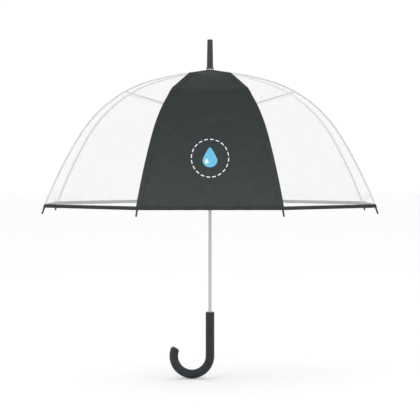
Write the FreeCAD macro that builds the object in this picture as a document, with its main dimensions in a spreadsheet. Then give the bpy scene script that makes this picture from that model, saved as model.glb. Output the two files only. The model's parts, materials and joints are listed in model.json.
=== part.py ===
import FreeCAD, Part
import math
import os
import Sketcher

# A clear bubble umbrella, open, standing on the bottom of its hook handle.
# The shaft is on the Z axis, the hook curls towards -X and z = 0 is the bottom of the hook.
# Lengths are in millimetres and angles in degrees.

DIMENSIONS = {
    # Shaft and handle
    "shaft_radius": 4.0,
    "shaft_wall": 0.6,
    "slide_fit": 0.03,
    "handle_top": 166.0,
    "handle_radius": 11.0,
    "hook_radius": 45.2,
    "hook_turn": 207.0,
    "hook_rounding": 6.0,
    "grip_bore_depth": 80.0,
    "collar_radius": 7.0,
    "collar_height": 2.5,
    "tube_inset": 24.0,
    # Ferrule and washer on top of the canopy
    "ferrule_top": 844.0,
    "ferrule_tip_radius": 6.8,
    "ferrule_waist_radius": 7.9,
    "ferrule_base_radius": 9.9,
    "ferrule_flare_height": 6.0,
    "ferrule_flare_bulge": 0.4,
    "ferrule_foot_height": 2.0,
    "ferrule_rounding": 1.5,
    "ferrule_bore_depth": 50.0,
    "washer_bottom": 769.0,
    "washer_height": 1.6,
    "washer_radius": 10.3,
    # Canopy meridian, three tangent arcs from the crown down to the hem
    "rib_count": 8,
    "crown_height": 768.7,
    "crown_slope": 5.25,
    "crown_arc": 898.7,
    "crown_turn": 9.84,
    "shoulder_arc": 328.9,
    "shoulder_turn": 42.3,
    "skirt_arc": 1040.8,
    "skirt_turn": 10.56,
    "film_thickness": 0.2,
    "film_hole": 5.4,
    "seam_gap": 0.3,
    "hem_height": 8.0,
    "hem_wall": 0.4,
    "hem_gap": 0.35,
    "hem_end_gap": 3.2,
    # Ribs and stretchers
    "rib_lift": 0.75,
    "rib_depth": 2.8,
    "rib_width": 3.2,
    "rib_wall": 0.5,
    "joint_radius": 224.0,
    "tongue_width": 1.9,
    "tongue_clearance": 2.4,
    "fork_reach": 3.0,
    "channel_start": 6.0,
    "channel_end_gap": 8.0,
    "rivet_radius": 0.75,
    "rivet_hole": 0.8,
    "rivet_head_radius": 1.3,
    "rivet_length": 5.8,
    "rivet_head": 0.4,
    "eye_radius": 1.9,
    "eye_hole": 0.9,
    "eye_drop": 1.0,
    "stretcher_depth": 2.4,
    "stretcher_fork_width": 4.8,
    "stretcher_fork_gap": 3.5,
    "stretcher_fork_length": 13.0,
    "stretcher_fork_root": 2.0,
    "stretcher_channel_gap": 3.0,
    "stretcher_eye_gap": 8.0,
    "stretcher_wire_hole": 0.7,
    "tip_radius": 2.1,
    "tip_length": 22.0,
    "tip_overlap": 6.0,
    "tip_drop": 2.65,
    "tip_setback": 3.5,
    "rib_end_gap": 4.0,
    "tang_width": 2.0,
    "tang_start": 5.0,
    "tang_reach": 8.0,
    "tang_fit": 0.06,
    "socket_room": 0.5,
    # Top notch and its ring wire
    "notch_radius": 12.5,
    "notch_top": 766.2,
    "notch_height": 7.4,
    "notch_slot": 3.9,
    "notch_hub": 6.9,
    "wire_pitch": 9.5,
    "wire_radius": 0.6,
    "wire_groove": 0.66,
    # Runner, catches and stop pin
    "runner_pitch": 10.5,
    "runner_drop": 110.0,
    "runner_bore": 4.08,
    "runner_radius": 6.8,
    "runner_ring_radius": 13.5,
    "runner_ring_height": 9.0,
    "runner_length": 40.0,
    "runner_rim_radius": 9.0,
    "runner_rim_height": 2.5,
    "runner_slot": 4.2,
    "runner_slot_floor": 7.6,
    "window_width": 2.2,
    "window_height": 18.0,
    "window_drop": 24.0,
    "runner_travel": 326.2,
    "catch_height": 14.0,
    "catch_thickness": 1.4,
    "catch_reach": 6.8,
    "catch_root": 0.4,
    "catch_inset": 0.1,
    "catch_ledge": 2.0,
    "catch_gap": 0.5,
    "catch_slot_width": 1.7,
    "catch_slot_room": 0.3,
    "stop_pin_radius": 1.0,
    "stop_pin_length": 13.0,
    # Tie strap on the back panel
    "strap_length": 120.0,
    "strap_width": 14.0,
    "strap_thickness": 0.8,
    "strap_rise": 24.0,
    "strap_gap": 0.5,
}

# How far a cutting shape reaches past the material, and how wide a panel's strip starts
OVERCUT = 2.0
CUTTER_REACH = 30.0
WEDGE_REACH = 700.0
STRIP_WIDTH = 400.0
CUT_THROUGH = 3000.0
BACK_PANEL = 2

doc = FreeCAD.newDocument("bubble_umbrella")
sheet = doc.addObject("Spreadsheet::Sheet", "Dimensions")
for row, (alias, value) in enumerate(DIMENSIONS.items(), start=1):
    sheet.set(f"A{row}", alias)
    sheet.set(f"B{row}", str(value))
    sheet.setAlias(f"B{row}", alias)
doc.recompute()

sub_parts = []


def size(alias):
    """A driving dimension, read from the sheet."""
    return float(getattr(sheet, alias))


# ---- the canopy meridian -------------------------------------------------------------


class Arc:
    """One arc of the meridian. A point on it is given by its slope below the horizontal."""

    def __init__(self, start, slope, radius, turn):
        self.radius = radius
        self.first = math.radians(slope)
        self.last = math.radians(slope + turn)
        self.centre_x = start[0] - radius * math.sin(self.first)
        self.centre_z = start[1] - radius * math.cos(self.first)

    def point(self, slope, depth=0.0, squeeze=1.0):
        """The point `depth` inside the film, with its distance from the shaft times `squeeze`."""
        reach = self.radius - depth
        x = self.centre_x + reach * math.sin(slope)
        z = self.centre_z + reach * math.cos(slope)
        return FreeCAD.Vector(x * squeeze, z, 0)

    def slope_at(self, x, depth=0.0):
        """The slope where the arc is at distance x from the shaft."""
        return math.asin((x - self.centre_x) / (self.radius - depth))


def meridian():
    """The three tangent arcs, from the crown to the hem."""
    arcs = []
    start = (0.0, size("crown_height"))
    slope = size("crown_slope")
    for name in ("crown", "shoulder", "skirt"):
        arc = Arc(start, slope, size(name + "_arc"), size(name + "_turn"))
        arcs.append(arc)
        end = arc.point(arc.last)
        start = (end.x, end.y)
        slope += size(name + "_turn")
    return arcs


CROWN, SHOULDER, SKIRT = meridian()
HALF_PANEL = 180.0 / size("rib_count")
PANEL_SQUEEZE = math.cos(math.radians(HALF_PANEL))
RIB_MIDDLE = size("rib_lift") + size("rib_depth") / 2
JOINT_SLOPE = SHOULDER.slope_at(size("joint_radius"))

notch_pivot = FreeCAD.Vector(size("wire_pitch"), 0, 0)
notch_pivot.y = CROWN.point(CROWN.slope_at(size("wire_pitch"))).y - RIB_MIDDLE - size("eye_drop")
joint_pivot = SHOULDER.point(JOINT_SLOPE, RIB_MIDDLE)
runner_pivot = FreeCAD.Vector(size("runner_pitch"), notch_pivot.y - size("runner_drop"), 0)
hem_end = SKIRT.point(SKIRT.last)


def band(runs, depth, squeeze=1.0):
    """Arcs at one depth inside the film, one for each (arc, first slope, last slope) run."""
    edges = []
    for arc, first, last in runs:
        ends = [arc.point(slope, depth, squeeze) for slope in (first, (first + last) / 2, last)]
        edges.append(Part.Arc(*ends))
    return edges


def strip(runs, top, bottom, squeeze=1.0):
    """The closed outline of a strip that follows the meridian between two depths."""
    upper = band(runs, top, squeeze)
    lower = band(runs, bottom, squeeze)
    end_cap = Part.LineSegment(upper[-1].EndPoint, lower[-1].EndPoint)
    start_cap = Part.LineSegment(lower[0].StartPoint, upper[0].StartPoint)
    return upper + [end_cap] + lower[::-1] + [start_cap]


# ---- helpers for bodies, sketches and features ---------------------------------------


def new_body(label):
    body = doc.addObject("PartDesign::Body", label)
    body.Label = label
    sub_parts.append(body)
    return body


def keep(feature, label):
    """Name a Part object and count it as a sub-part."""
    feature.Label = label
    sub_parts.append(feature)
    return feature


def new_sketch(body, name, role="XZ_Plane", lift=None):
    plane = next(item for item in body.Origin.OriginFeatures if item.Role == role)
    sketch = body.newObject("Sketcher::SketchObject", name)
    sketch.AttachmentSupport = [(plane, "")]
    sketch.MapMode = "FlatFace"
    if lift:
        sketch.setExpression("AttachmentOffset.Base.z", lift)
    return sketch


def draw_outline(sketch, edges):
    """Add one closed outline and join the ends of neighbouring edges."""
    first = sketch.GeometryCount
    for edge in edges:
        sketch.addGeometry(edge, False)
    for index in range(len(edges)):
        here = first + index
        there = first + (index + 1) % len(edges)
        pairs = [(a, b) for a in (1, 2) for b in (1, 2)]
        gaps = {}
        for mine, theirs in pairs:
            gaps[mine, theirs] = (sketch.getPoint(here, mine) - sketch.getPoint(there, theirs)).Length
        near = min(pairs, key=gaps.get)
        sketch.addConstraint(Sketcher.Constraint("Coincident", here, near[0], there, near[1]))


def draw_polygon(sketch, corners):
    points = [FreeCAD.Vector(x, y, 0) for x, y in corners]
    edges = [Part.LineSegment(a, b) for a, b in zip(points, points[1:] + points[:1])]
    draw_outline(sketch, edges)


def draw_circle(sketch, centre, radius):
    """Add a circle whose radius follows a cell, a number or a formula of cells."""
    index = sketch.addGeometry(Part.Circle(centre, FreeCAD.Vector(0, 0, 1), 1.0), False)
    constraint = sketch.addConstraint(Sketcher.Constraint("Radius", index, 1.0))
    sketch.setExpression(f"Constraints[{constraint}]", radius)


def extrude(body, kind, sketch, name, length, symmetric=True):
    feature = body.newObject("PartDesign::" + kind, name)
    feature.Profile = sketch
    feature.setExpression("Length", length)
    if symmetric:
        feature.SideType = "Symmetric"
    body.Tip = feature
    return feature


def pad(body, sketch, name, length, symmetric=True):
    return extrude(body, "Pad", sketch, name, length, symmetric)


def pocket(body, sketch, name, length, symmetric=True):
    """Cut the sketch away and make sure that it took some material."""
    doc.recompute()
    before = body.Shape.Volume
    feature = extrude(body, "Pocket", sketch, name, length, symmetric)
    doc.recompute()
    if body.Shape.Volume > before - 1e-6:
        raise RuntimeError(name + " cuts nothing")
    return feature


def revolve(body, sketch, name, axis=("V_Axis",)):
    feature = body.newObject("PartDesign::Revolution", name)
    feature.Profile = sketch
    feature.ReferenceAxis = (sketch, list(axis))
    feature.Angle = 360
    body.Tip = feature
    return feature


def cylinder(name, radius, height, bottom):
    tool = doc.addObject("Part::Cylinder", name)
    tool.setExpression("Radius", radius)
    tool.setExpression("Height", height)
    tool.setExpression("Placement.Base.z", bottom)
    return tool


def box(name, length, width, height, x, y, bottom):
    tool = doc.addObject("Part::Box", name)
    tool.setExpression("Length", length)
    tool.setExpression("Width", width)
    tool.setExpression("Height", height)
    tool.setExpression("Placement.Base.x", x)
    tool.setExpression("Placement.Base.y", y)
    tool.setExpression("Placement.Base.z", bottom)
    return tool


def cut(name, base, tool):
    result = doc.addObject("Part::Cut", name)
    result.Base = base
    result.Tool = tool
    return result


def fuse(name, shapes):
    result = doc.addObject("Part::MultiFuse", name)
    result.Shapes = shapes
    return result


def turn_about_shaft(item, azimuth):
    upright = FreeCAD.Vector(0, 0, 1)
    item.Placement = FreeCAD.Placement(FreeCAD.Vector(0, 0, 0), FreeCAD.Rotation(upright, azimuth))


# ---- shaft, ferrule and handle -------------------------------------------------------

RUNNER_HEIGHT = f"({runner_pivot.y})"
RUNNER_BOTTOM = f"({RUNNER_HEIGHT} - Dimensions.runner_length)"


def make_shaft_tube():
    """The steel tube, with a slot for each catch and a cross hole for the stop pin."""
    bottom = "Dimensions.handle_top - Dimensions.grip_bore_depth"
    length = f"Dimensions.ferrule_top - Dimensions.tube_inset - ({bottom})"
    outer = cylinder("tube_outside", "Dimensions.shaft_radius", length, bottom)
    bore = cylinder("tube_bore", "Dimensions.shaft_radius - Dimensions.shaft_wall", length, bottom)
    tube = cut("plain_tube", outer, bore)
    slots = []
    for name, base in (("top", TOP_CATCH_BASE), ("bottom", BOTTOM_CATCH_BASE)):
        slot = box(
            name + "_catch_slot", "Dimensions.catch_slot_width", f"Dimensions.shaft_radius + {OVERCUT}",
            "Dimensions.catch_height + 2 * Dimensions.catch_slot_room",
            "-Dimensions.catch_slot_width / 2", "0", f"{base} - Dimensions.catch_slot_room",
        )
        slots.append(slot)
    hole = doc.addObject("Part::Cylinder", "stop_pin_hole")
    hole.setExpression("Radius", "Dimensions.stop_pin_radius + Dimensions.slide_fit")
    hole.setExpression("Height", "Dimensions.stop_pin_length")
    hole.Placement = lying_along_y(STOP_PIN_HEIGHT)
    slots.append(hole)
    keep(cut("slotted_tube", tube, fuse("tube_openings", slots)), "shaft_tube")


def lying_along_y(height):
    """A placement that lays the stop pin's cylinder along Y, centred on the shaft."""
    turn = FreeCAD.Rotation(FreeCAD.Vector(1, 0, 0), -90)
    return FreeCAD.Placement(FreeCAD.Vector(0, -size("stop_pin_length") / 2, height), turn)


def make_stop_pin():
    """The pin through the shaft that the runner stops against."""
    pin = doc.addObject("Part::Cylinder", "pin_through_shaft")
    pin.setExpression("Radius", "Dimensions.stop_pin_radius")
    pin.setExpression("Height", "Dimensions.stop_pin_length")
    pin.Placement = lying_along_y(STOP_PIN_HEIGHT)
    keep(pin, "runner_stop_pin")


def make_ferrule():
    """The dark plastic spike on top, flared where it meets the washer, bored for the tube."""
    body = new_body("ferrule")
    base = size("washer_bottom") + size("washer_height")
    top = size("ferrule_top")
    bore_top = base + size("ferrule_bore_depth")
    bore = size("shaft_radius") + size("slide_fit")
    rounding = size("ferrule_rounding")
    tip = size("ferrule_tip_radius")
    waist = size("ferrule_waist_radius")
    bulge = size("ferrule_flare_bulge")
    foot_top = base + size("ferrule_foot_height")
    flare_height = size("ferrule_flare_height")
    flare = FreeCAD.Vector(size("ferrule_base_radius"), foot_top, 0)
    neck = FreeCAD.Vector(waist, foot_top + flare_height, 0)
    flare_middle = FreeCAD.Vector(waist + bulge, foot_top + bulge * flare_height, 0)
    shoulder = FreeCAD.Vector(tip, top - rounding, 0)
    edge = FreeCAD.Vector(tip - rounding, top, 0)
    inset = rounding * (1 - math.sqrt(0.5))
    corner = FreeCAD.Vector(tip - inset, top - inset, 0)
    foot = FreeCAD.Vector(flare.x, base, 0)
    inner = FreeCAD.Vector(bore, base, 0)
    bore_edge = FreeCAD.Vector(bore, bore_top, 0)
    bore_centre = FreeCAD.Vector(0, bore_top, 0)
    tip_centre = FreeCAD.Vector(0, top, 0)
    edges = [
        Part.LineSegment(inner, foot),
        Part.LineSegment(foot, flare),
        Part.Arc(flare, flare_middle, neck),
        Part.LineSegment(neck, shoulder),
        Part.Arc(shoulder, corner, edge),
        Part.LineSegment(edge, tip_centre),
        Part.LineSegment(tip_centre, bore_centre),
        Part.LineSegment(bore_centre, bore_edge),
        Part.LineSegment(bore_edge, inner),
    ]
    sketch = new_sketch(body, "ferrule_profile")
    draw_outline(sketch, edges)
    revolve(body, sketch, "ferrule_turned")


def make_ring(label, outer, inner, height, bottom):
    """A plain ring round the shaft."""
    outside = cylinder(label + "_outside", outer, height, bottom)
    bore = cylinder(label + "_bore", inner, height, bottom)
    return keep(cut(label + "_ring", outside, bore), label)


def make_handle():
    """The soft J handle: a straight grip and a hook, bored for the tube, its free end rounded."""
    body = new_body("handle_grip")
    hook = size("hook_radius")
    centre = FreeCAD.Vector(-hook, hook + size("handle_radius"), 0)
    turn = math.radians(size("hook_turn"))
    top = FreeCAD.Vector(0, size("handle_top"), 0)
    start = FreeCAD.Vector(0, centre.y, 0)

    def on_hook(angle):
        return FreeCAD.Vector(centre.x + hook * math.cos(angle), centre.y - hook * math.sin(angle), 0)

    path = new_sketch(body, "handle_path")
    path.addGeometry(Part.LineSegment(top, start), False)
    path.addGeometry(Part.Arc(start, on_hook(turn / 2), on_hook(turn)), False)
    section = new_sketch(body, "handle_section", "XY_Plane", "Dimensions.handle_top")
    draw_circle(section, FreeCAD.Vector(0, 0, 0), "Dimensions.handle_radius")
    doc.recompute()
    tube = body.newObject("PartDesign::AdditivePipe", "handle_tube")
    tube.Profile = section
    tube.Spine = path
    body.Tip = tube
    doc.recompute()
    end = on_hook(turn)
    free_end = FreeCAD.Vector(end.x, 0, end.y)
    rounding = body.newObject("PartDesign::Fillet", "handle_end")
    rounding.Base = (tube, [nearest_circle(tube.Shape, free_end)])
    rounding.setExpression("Radius", "Dimensions.hook_rounding")
    body.Tip = rounding
    bore = new_sketch(body, "handle_bore_circle", "XY_Plane", "Dimensions.handle_top")
    draw_circle(bore, FreeCAD.Vector(0, 0, 0), "Dimensions.shaft_radius + Dimensions.slide_fit")
    pocket(body, bore, "handle_bore", "Dimensions.grip_bore_depth", symmetric=False)


def nearest_circle(shape, point):
    """The name of the circular edge whose centre is nearest to a point."""
    best = None
    for index, edge in enumerate(shape.Edges, start=1):
        if edge.Curve.TypeId != "Part::GeomCircle":
            continue
        away = (edge.Curve.Center - point).Length
        if best is None or away < best[0]:
            best = (away, f"Edge{index}")
    return best[1]


# ---- top notch and runner ------------------------------------------------------------


def slot_cutters(name, width, floor, height, bottom):
    """One radial box for each rib, from the slot floor outwards, joined into one tool."""
    cutters = []
    for index in range(int(size("rib_count"))):
        cutter = doc.addObject("Part::Box", f"{name}_slot_{index + 1}")
        cutter.Length = CUTTER_REACH
        cutter.setExpression("Width", width)
        cutter.setExpression("Height", height)
        azimuth = math.radians(rib_azimuth(index))
        across = -size(width.split(".")[1]) / 2
        reach = size(floor.split(".")[1])
        x = reach * math.cos(azimuth) - across * math.sin(azimuth)
        y = reach * math.sin(azimuth) + across * math.cos(azimuth)
        turn = FreeCAD.Rotation(FreeCAD.Vector(0, 0, 1), rib_azimuth(index))
        cutter.Placement = FreeCAD.Placement(FreeCAD.Vector(x, y, 0), turn)
        cutter.setExpression("Placement.Base.z", bottom)
        cutters.append(cutter)
    return fuse(name + "_slots", cutters)


def rib_azimuth(index):
    return HALF_PANEL * (2 * index + 1)


def panel_azimuth(index):
    return HALF_PANEL * 2 * index


def make_notch():
    """The slotted disc that the ribs hinge on, with a hidden groove for the ring wire."""
    bottom = "Dimensions.notch_top - Dimensions.notch_height"
    disc = cylinder("notch_disc", "Dimensions.notch_radius", "Dimensions.notch_height", bottom)
    fit = "Dimensions.shaft_radius + Dimensions.slide_fit"
    bore = cylinder("notch_bore", fit, "Dimensions.notch_height", bottom)
    slots = slot_cutters(
        "notch", "Dimensions.notch_slot", "Dimensions.notch_hub",
        f"Dimensions.notch_height + {2 * OVERCUT}", f"{bottom} - {OVERCUT}",
    )
    groove = doc.addObject("Part::Torus", "wire_groove")
    groove.setExpression("Radius1", "Dimensions.wire_pitch")
    groove.setExpression("Radius2", "Dimensions.wire_groove")
    groove.Placement.Base = FreeCAD.Vector(0, 0, notch_pivot.y)
    keep(cut("notch_cut", disc, fuse("notch_openings", [bore, slots, groove])), "top_notch")


def make_ring_wire():
    wire = doc.addObject("Part::Torus", "ring_wire")
    wire.setExpression("Radius1", "Dimensions.wire_pitch")
    wire.setExpression("Radius2", "Dimensions.wire_radius")
    wire.Placement.Base = FreeCAD.Vector(0, 0, notch_pivot.y)
    keep(wire, "notch_ring_wire")


def make_runner():
    """The sliding sleeve: a slotted ring for the stretchers, a thumb rim and a catch window."""
    ring_bottom = f"{RUNNER_HEIGHT} - Dimensions.runner_ring_height / 2"
    length = "Dimensions.runner_length + Dimensions.runner_ring_height / 2"
    ring = cylinder(
        "runner_ring", "Dimensions.runner_ring_radius", "Dimensions.runner_ring_height", ring_bottom
    )
    sleeve = cylinder("runner_sleeve", "Dimensions.runner_radius", length, RUNNER_BOTTOM)
    rim = cylinder(
        "runner_rim", "Dimensions.runner_rim_radius", "Dimensions.runner_rim_height", RUNNER_BOTTOM
    )
    slots = slot_cutters(
        "runner", "Dimensions.runner_slot", "Dimensions.runner_slot_floor",
        f"Dimensions.runner_ring_height + {2 * OVERCUT}", f"{ring_bottom} - {OVERCUT}",
    )
    bore = cylinder("runner_bore", "Dimensions.runner_bore", length, RUNNER_BOTTOM)
    window = box(
        "catch_window", "Dimensions.window_width", f"Dimensions.runner_radius + {OVERCUT}",
        "Dimensions.window_height", "-Dimensions.window_width / 2", "0",
        f"{RUNNER_HEIGHT} - Dimensions.window_drop - Dimensions.window_height / 2",
    )
    solid = fuse("runner_solid", [ring, sleeve, rim])
    keep(cut("runner_cut", solid, fuse("runner_openings", [slots, bore, window])), "runner")


RUNNER_TOP = runner_pivot.y + size("runner_ring_height") / 2
STOP_PIN_HEIGHT = RUNNER_TOP + size("catch_gap") + size("stop_pin_radius")
TOP_CATCH_BASE = f"({RUNNER_BOTTOM} - Dimensions.catch_gap - Dimensions.catch_height)"
BOTTOM_CATCH_BASE = (
    f"({RUNNER_HEIGHT} - Dimensions.window_drop - Dimensions.runner_travel"
    " - Dimensions.catch_height / 2)"
)


def make_catch(label, base, ledge_on_top):
    """A sprung wedge in the shaft's slot: a flat ledge that holds the runner and a long slope."""
    body = new_body(label)
    face = size("shaft_radius") - size("catch_inset")
    root = size("catch_root")
    tip = size("catch_reach")
    height = size("catch_height")
    ledge = height - size("catch_ledge")
    corners = [(root, 0), (face, 0), (tip, ledge), (tip, height), (root, height)]
    if not ledge_on_top:
        corners = [(y, height - z) for y, z in corners]
    sketch = new_sketch(body, label + "_profile", "YZ_Plane")
    draw_polygon(sketch, corners)
    pad(body, sketch, label + "_plate", "Dimensions.catch_thickness")
    body.setExpression("Placement.Base.z", base)


# ---- ribs, stretchers and tip caps ---------------------------------------------------


def joint_slope_after(length):
    """The slope of the shoulder arc a distance past the joint, or before it if negative."""
    return JOINT_SLOPE + length / SHOULDER.radius


def rib_tangent(slope):
    return FreeCAD.Vector(math.cos(slope), -math.sin(slope), 0)


def round_end(points, centre, radius, direction):
    """An arc from one corner of a strip to the other, bulging in a direction past the centre."""
    return Part.Arc(points[0], centre + direction * radius, points[1])


def make_upper_rib(index):
    """From the notch to the joint: a channel with an eye, a forked end and the joint's rivet."""
    body = new_body(f"upper_rib_{index + 1}")
    name = body.Name
    start = CROWN.slope_at(size("wire_pitch"))
    runs = [(CROWN, start, CROWN.last), (SHOULDER, SHOULDER.first, JOINT_SLOPE)]
    top = size("rib_lift")
    bottom = top + size("rib_depth")
    upper = band(runs, top)
    lower = band(runs, bottom)
    ends = (upper[-1].EndPoint, lower[-1].EndPoint)
    cap = round_end(ends, joint_pivot, size("rib_depth") / 2, rib_tangent(JOINT_SLOPE))
    start_cap = Part.LineSegment(lower[0].StartPoint, upper[0].StartPoint)
    sketch = new_sketch(body, name + "_side")
    draw_outline(sketch, upper + [cap] + lower[::-1] + [start_cap])
    pad(body, sketch, name + "_strip", "Dimensions.rib_width")

    eye = new_sketch(body, name + "_eye_circle")
    draw_circle(eye, notch_pivot, "Dimensions.eye_radius")
    pad(body, eye, name + "_eye", "Dimensions.rib_width")

    inside = top + size("rib_wall")
    beyond = bottom + OVERCUT
    above = top - OVERCUT
    channel_start = CROWN.slope_at(size("wire_pitch") + size("channel_start"))
    fork_start = joint_slope_after(-size("fork_reach"))
    channel_end = joint_slope_after(-2 * size("fork_reach"))
    past_joint = joint_slope_after(size("fork_reach"))
    channel_runs = [(CROWN, channel_start, CROWN.last), (SHOULDER, SHOULDER.first, channel_end)]
    channel = new_sketch(body, name + "_channel_side")
    draw_outline(channel, strip(channel_runs, inside, beyond))
    pocket(body, channel, name + "_channel", "Dimensions.rib_width - 2 * Dimensions.rib_wall")
    fork = new_sketch(body, name + "_fork_side")
    draw_outline(fork, strip([(SHOULDER, fork_start, past_joint)], above, beyond))
    pocket(body, fork, name + "_fork", "Dimensions.rib_width - 2 * Dimensions.rib_wall")

    wire_hole = new_sketch(body, name + "_wire_circle")
    draw_circle(wire_hole, notch_pivot, "Dimensions.eye_hole")
    pocket(body, wire_hole, name + "_wire_hole", f"Dimensions.rib_width + {OVERCUT}")

    shank = new_sketch(body, name + "_rivet_circle")
    draw_circle(shank, joint_pivot, "Dimensions.rivet_radius")
    pad(body, shank, name + "_rivet", "Dimensions.rivet_length")
    head_lift = "Dimensions.rivet_length / 2"
    for side, lift in (("left", head_lift), ("right", f"Dimensions.rivet_head - {head_lift}")):
        head = new_sketch(body, f"{name}_{side}_head_circle", lift=lift)
        draw_circle(head, joint_pivot, "Dimensions.rivet_head_radius")
        feature = pad(body, head, f"{name}_{side}_head", "Dimensions.rivet_head", symmetric=False)
        feature.Reversed = True
    turn_about_shaft(body, rib_azimuth(index))


def make_lower_rib(index):
    """From the joint to the hem: a tongue on the rivet, a channel and a tang for the tip cap."""
    body = new_body(f"lower_rib_{index + 1}")
    name = body.Name
    top = size("rib_lift")
    bottom = top + size("rib_depth")
    shoulder_start = joint_slope_after(size("tongue_clearance"))
    last = SKIRT.last - size("rib_end_gap") / SKIRT.radius
    runs = [(SHOULDER, shoulder_start, SHOULDER.last), (SKIRT, SKIRT.first, last)]
    sketch = new_sketch(body, name + "_side")
    draw_outline(sketch, strip(runs, top, bottom))
    pad(body, sketch, name + "_strip", "Dimensions.rib_width")

    tongue_run = [(SHOULDER, JOINT_SLOPE, joint_slope_after(2 * size("fork_reach")))]
    edges = strip(tongue_run, top, bottom)
    start_cap = edges.pop()
    ends = (start_cap.StartPoint, start_cap.EndPoint)
    edges.append(round_end(ends, joint_pivot, size("rib_depth") / 2, rib_tangent(JOINT_SLOPE) * -1))
    tongue = new_sketch(body, name + "_tongue_side")
    draw_outline(tongue, edges)
    pad(body, tongue, name + "_tongue", "Dimensions.tongue_width")

    inside = top + size("rib_wall")
    channel_start = joint_slope_after(3 * size("fork_reach"))
    channel_last = last - size("channel_end_gap") / SKIRT.radius
    channel_runs = [(SHOULDER, channel_start, SHOULDER.last), (SKIRT, SKIRT.first, channel_last)]
    channel = new_sketch(body, name + "_channel_side")
    draw_outline(channel, strip(channel_runs, inside, bottom + OVERCUT))
    pocket(body, channel, name + "_channel", "Dimensions.rib_width - 2 * Dimensions.rib_wall")

    hole = new_sketch(body, name + "_rivet_circle")
    draw_circle(hole, joint_pivot, "Dimensions.rivet_hole")
    pocket(body, hole, name + "_rivet_hole", f"Dimensions.rib_width + {OVERCUT}")

    tang = new_sketch(body, name + "_tang_side")
    draw_polygon(tang, tip_frame_box(-size("tang_start"), size("tang_reach"), size("tang_width")))
    pad(body, tang, name + "_tang", "Dimensions.tang_width")
    turn_about_shaft(body, rib_azimuth(index))


def tip_point(along, up):
    """A point by the rib's end: along the rib past the hem and out from the tip cap's axis."""
    slope = SKIRT.last
    base = SKIRT.point(slope, size("tip_drop"))
    out = FreeCAD.Vector(math.sin(slope), math.cos(slope), 0)
    return base + rib_tangent(slope) * along + out * up


def tip_frame_box(first, last, width):
    """The corners of a rectangle on the tip cap's axis."""
    places = ((first, -0.5), (last, -0.5), (last, 0.5), (first, 0.5))
    points = [tip_point(along, side * width) for along, side in places]
    return [(point.x, point.y) for point in points]


def make_tip_cap(index):
    """The rounded plastic cap pushed on the rib's tang."""
    body = new_body(f"tip_cap_{index + 1}")
    name = body.Name
    radius = size("tip_radius")
    first = -size("tip_setback")
    last = size("tip_length") - size("tip_overlap")
    corner = tip_point(last - radius, radius)
    start_axis = tip_point(first, 0)
    end_axis = tip_point(last, 0)
    nose = math.sqrt(0.5) * radius
    edges = [
        Part.LineSegment(start_axis, tip_point(first, radius)),
        Part.LineSegment(tip_point(first, radius), corner),
        Part.Arc(corner, tip_point(last - radius + nose, nose), end_axis),
        Part.LineSegment(end_axis, start_axis),
    ]
    sketch = new_sketch(body, name + "_half")
    draw_outline(sketch, edges)
    sketch.addGeometry(Part.LineSegment(start_axis, end_axis), True)
    revolve(body, sketch, name + "_turned", ("Axis0",))
    doc.recompute()
    socket = new_sketch(body, name + "_socket_side")
    fit = size("tang_width") + size("tang_fit")
    deep = size("tang_reach") + size("socket_room")
    draw_polygon(socket, tip_frame_box(first - OVERCUT, deep, fit))
    pocket(body, socket, name + "_socket", "Dimensions.tang_width + Dimensions.tang_fit")
    turn_about_shaft(body, rib_azimuth(index))


def make_stretcher(index):
    """From the joint in to the runner: a fork round the rib, a channel and an eye."""
    body = new_body(f"stretcher_{index + 1}")
    name = body.Name
    along = runner_pivot - joint_pivot
    length = along.Length
    along.normalize()
    across = FreeCAD.Vector(-along.y, along.x, 0)
    half = size("stretcher_depth") / 2
    fork_length = size("stretcher_fork_length")
    outside = half + OVERCUT

    def place(distance, side):
        return joint_pivot + along * distance + across * side

    def rounded_bar(first, last, round_first, round_last):
        edges = [Part.LineSegment(place(first, half), place(last, half))]
        if round_last:
            edges.append(Part.Arc(place(last, half), place(last + half, 0), place(last, -half)))
        else:
            edges.append(Part.LineSegment(place(last, half), place(last, -half)))
        edges.append(Part.LineSegment(place(last, -half), place(first, -half)))
        if round_first:
            edges.append(Part.Arc(place(first, -half), place(first - half, 0), place(first, half)))
        else:
            edges.append(Part.LineSegment(place(first, -half), place(first, half)))
        return edges

    fork = new_sketch(body, name + "_fork_side")
    draw_outline(fork, rounded_bar(0, fork_length, True, False))
    pad(body, fork, name + "_fork", "Dimensions.stretcher_fork_width")
    gap = new_sketch(body, name + "_gap_side")
    gap_end = fork_length - size("stretcher_fork_root")
    gap_corners = ((-outside, -outside), (gap_end, -outside), (gap_end, outside), (-outside, outside))
    draw_polygon(gap, [(place(*corner).x, place(*corner).y) for corner in gap_corners])
    pocket(body, gap, name + "_gap", "Dimensions.stretcher_fork_gap")
    bar = new_sketch(body, name + "_bar_side")
    draw_outline(bar, rounded_bar(gap_end, length, False, True))
    pad(body, bar, name + "_bar", "Dimensions.rib_width")

    channel = new_sketch(body, name + "_channel_side")
    roof = half - size("rib_wall")
    start = fork_length + size("stretcher_channel_gap")
    end = length - size("stretcher_eye_gap")
    channel_corners = ((start, roof), (end, roof), (end, -outside), (start, -outside))
    draw_polygon(channel, [(place(*corner).x, place(*corner).y) for corner in channel_corners])
    pocket(body, channel, name + "_channel", "Dimensions.rib_width - 2 * Dimensions.rib_wall")
    rivet_hole = new_sketch(body, name + "_rivet_circle")
    draw_circle(rivet_hole, joint_pivot, "Dimensions.rivet_hole")
    pocket(body, rivet_hole, name + "_rivet_hole", f"Dimensions.stretcher_fork_width + {OVERCUT}")
    wire_hole = new_sketch(body, name + "_wire_circle")
    draw_circle(wire_hole, runner_pivot, "Dimensions.stretcher_wire_hole")
    pocket(body, wire_hole, name + "_wire_hole", f"Dimensions.rib_width + {OVERCUT}")
    turn_about_shaft(body, rib_azimuth(index))


# ---- canopy panels, hem tapes and tie strap ------------------------------------------


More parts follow.
